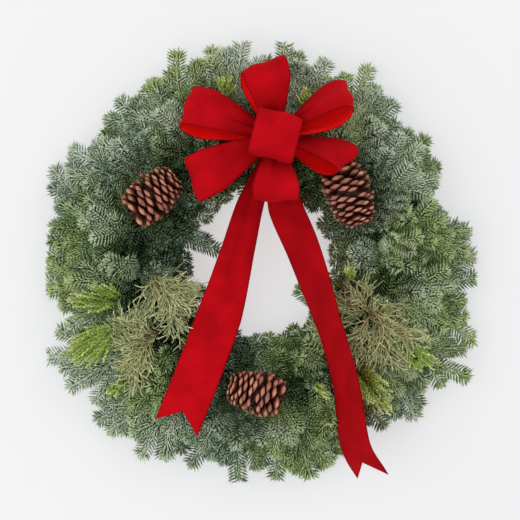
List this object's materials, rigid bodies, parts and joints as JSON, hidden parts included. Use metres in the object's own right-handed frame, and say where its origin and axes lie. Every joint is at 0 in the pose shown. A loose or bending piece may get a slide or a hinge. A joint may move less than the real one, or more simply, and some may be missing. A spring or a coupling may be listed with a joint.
{
  "type": "evergreen wreath",
  "caption": "Fresh evergreen wreath of fir bunches on a wire clamp ring, with pine cones, cedar, juniper and a red velvet ribbon bow",
  "frame": {"origin": "middle of the bounding box, on the plane that the wire ring's cross bars rest on", "axes": "+Z is the wreath's front, +Y its top where the bow is tied, +X its right as seen from the front"},
  "size_m": [0.6164, 0.6276, 0.1486],
  "materials": {
    "fir_green": "waxy blue-green needles with a pale bloom",
    "cedar_green": "bright green scale leaves with yellow tips",
    "juniper_olive": "olive-brown scale leaves",
    "pine_cone_brown": "dry reddish brown, paler at the scale ends",
    "red_velvet": "velvet pile, soft sheen",
    "green_wire": "dark green enamel"
  },
  "bodies": {
    "root": {"bow_loops": "red_velvet", "bow_tails": "red_velvet", "bow_tie_wire": "green_wire", "cedar_1": "cedar_green", "cedar_2": "cedar_green", "cedar_3": "cedar_green", "cedar_4": "cedar_green", "cedar_5": "cedar_green", "cedar_6": "cedar_green", "cedar_7": "cedar_green", "cedar_8": "cedar_green", "cedar_9": "cedar_green", "cone_bottom": "pine_cone_brown", "cone_left": "pine_cone_brown", "cone_right": "pine_cone_brown", "cone_wire_bottom": "green_wire", "cone_wire_left": "green_wire", "cone_wire_right": "green_wire", "fir_bunch_01": "fir_green", "fir_bunch_02": "fir_green", "fir_bunch_03": "fir_green", "fir_bunch_04": "fir_green", "fir_bunch_05": "fir_green", "fir_bunch_06": "fir_green", "fir_bunch_07": "fir_green", "fir_bunch_08": "fir_green", "fir_bunch_09": "fir_green", "fir_bunch_10": "fir_green", "fir_bunch_11": "fir_green", "fir_bunch_12": "fir_green", "fir_bunch_13": "fir_green", "fir_bunch_14": "fir_green", "fir_bunch_15": "fir_green", "fir_bunch_16": "fir_green", "juniper_1": "juniper_olive", "juniper_2": "juniper_olive", "juniper_3": "juniper_olive", "juniper_4": "juniper_olive", "wire_ring": "green_wire"}
  },
  "joints": []
}
